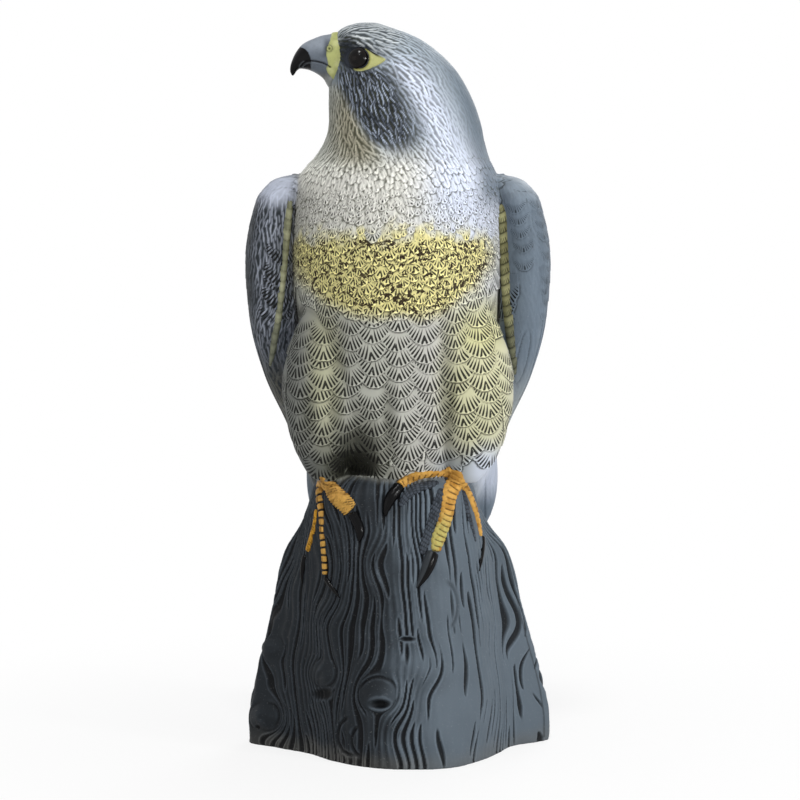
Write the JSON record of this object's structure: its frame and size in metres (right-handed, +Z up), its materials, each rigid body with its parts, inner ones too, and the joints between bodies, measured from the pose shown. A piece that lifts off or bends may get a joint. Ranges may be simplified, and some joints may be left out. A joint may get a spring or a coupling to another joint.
{
  "type": "hawk decoy",
  "caption": "Hollow moulded garden bird decoy: a falcon with folded wings standing on a tree stump, with a base plate and a push-in fill plug underneath.",
  "frame": {"origin": "middle of the stump on the ground, on the flat underside of the base plate, below the bird's body and forward of the fill plug", "axes": "+Z up through the standing bird, -Y the way its breast and feet face, -X the way its turned head and beak point"},
  "size_m": [0.1789, 0.1423, 0.4195],
  "materials": {
    "painted_shell": "matt sprayed paint over a moulded feather and bark relief",
    "moulded_black": "satin moulded",
    "eye_gloss": "polished"
  },
  "bodies": {
    "figure": {"front_shell": "painted_shell", "rear_shell": "painted_shell", "base_plate": "moulded_black", "eye_left": "eye_gloss", "eye_right": "eye_gloss"},
    "plug": {"fill_plug": "moulded_black"}
  },
  "joints": [
    {"name": "plug_pull", "type": "slide", "parent": "figure", "child": "plug", "axis": [0, 0, -1], "range_m": [0, 0.025]}
  ]
}
